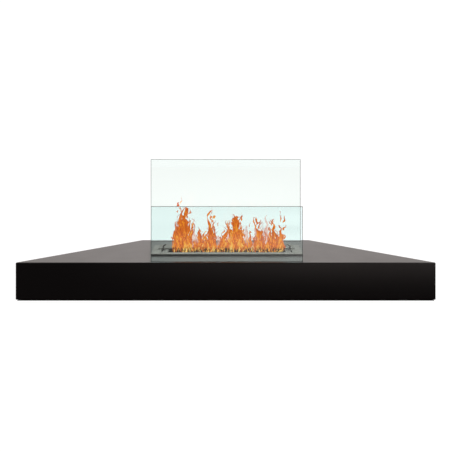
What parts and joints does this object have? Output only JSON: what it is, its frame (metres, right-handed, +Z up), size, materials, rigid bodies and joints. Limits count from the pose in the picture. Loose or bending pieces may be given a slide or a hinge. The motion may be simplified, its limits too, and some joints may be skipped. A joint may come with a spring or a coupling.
{
  "type": "corner fireplace",
  "caption": "Flat black steel corner hearth with 45 degree sides, a slotted burner with a sliding shutter and handles, and a low front and a tall rear pane of glass.",
  "frame": {"origin": "bottom centre of the whole, on the base panel's underside", "axes": "+X to the right along the wide front face, +Y back into the room's corner, +Z up"},
  "size_m": [1.1, 0.294, 0.351],
  "materials": {
    "black_coating": "satin black powder coating",
    "stainless_steel": "brushed stainless steel",
    "galvanised_steel": "dull galvanised sheet",
    "zinc_plated_steel": "zinc plated",
    "clear_glass": "clear tempered glass, ground edges",
    "silicone": "matt",
    "ceramic_wool": "white ceramic fibre"
  },
  "bodies": {
    "hearth": {"hearth_casing": "black_coating", "left_wall_side": "black_coating", "right_wall_side": "black_coating", "back_side": "black_coating", "base_panel": "black_coating", "base_screw_front_left": "zinc_plated_steel", "base_screw_front_right": "zinc_plated_steel", "base_screw_wall_left": "zinc_plated_steel", "base_screw_wall_right": "zinc_plated_steel", "base_screw_back_left": "zinc_plated_steel", "base_screw_back_right": "zinc_plated_steel", "clinch_nut_front_left": "zinc_plated_steel", "clinch_nut_front_right": "zinc_plated_steel", "clinch_nut_wall_left": "zinc_plated_steel", "clinch_nut_wall_right": "zinc_plated_steel", "clinch_nut_back_left": "zinc_plated_steel", "clinch_nut_back_right": "zinc_plated_steel", "left_front_hanger": "galvanised_steel", "left_back_hanger": "galvanised_steel", "right_front_hanger": "galvanised_steel", "right_back_hanger": "galvanised_steel", "front_rail": "galvanised_steel", "rear_rail": "galvanised_steel", "burner_cradle": "galvanised_steel", "front_gasket": "silicone", "rear_gasket": "silicone", "front_rail_nut_left": "zinc_plated_steel", "front_rail_nut_right": "zinc_plated_steel", "rear_rail_nut_left": "zinc_plated_steel", "rear_rail_nut_right": "zinc_plated_steel"},
    "burner": {"burner_plate": "stainless_steel", "fuel_tank": "stainless_steel", "ceramic_wool": "ceramic_wool", "wool_screen": "stainless_steel"},
    "shutter": {"shutter_plate": "stainless_steel", "left_handle": "stainless_steel", "right_handle": "stainless_steel", "left_guide_washer": "zinc_plated_steel", "left_guide_nut": "zinc_plated_steel", "right_guide_washer": "zinc_plated_steel", "right_guide_nut": "zinc_plated_steel"},
    "front_pane": {"front_glass": "clear_glass"},
    "rear_pane": {"rear_glass": "clear_glass"}
  },
  "joints": [
    {"name": "burner_lift", "type": "slide", "parent": "hearth", "child": "burner", "axis": [0, 0, 1], "range_m": [0, 0.09]},
    {"name": "shutter_slide", "type": "slide", "parent": "burner", "child": "shutter", "axis": [0, -1, 0], "range_m": [0, 0.0455]},
    {"name": "front_glass_lift", "type": "slide", "parent": "hearth", "child": "front_pane", "axis": [0, 0, 1], "range_m": [0, 0.06]},
    {"name": "rear_glass_lift", "type": "slide", "parent": "hearth", "child": "rear_pane", "axis": [0, 0, 1], "range_m": [0, 0.06]}
  ]
}
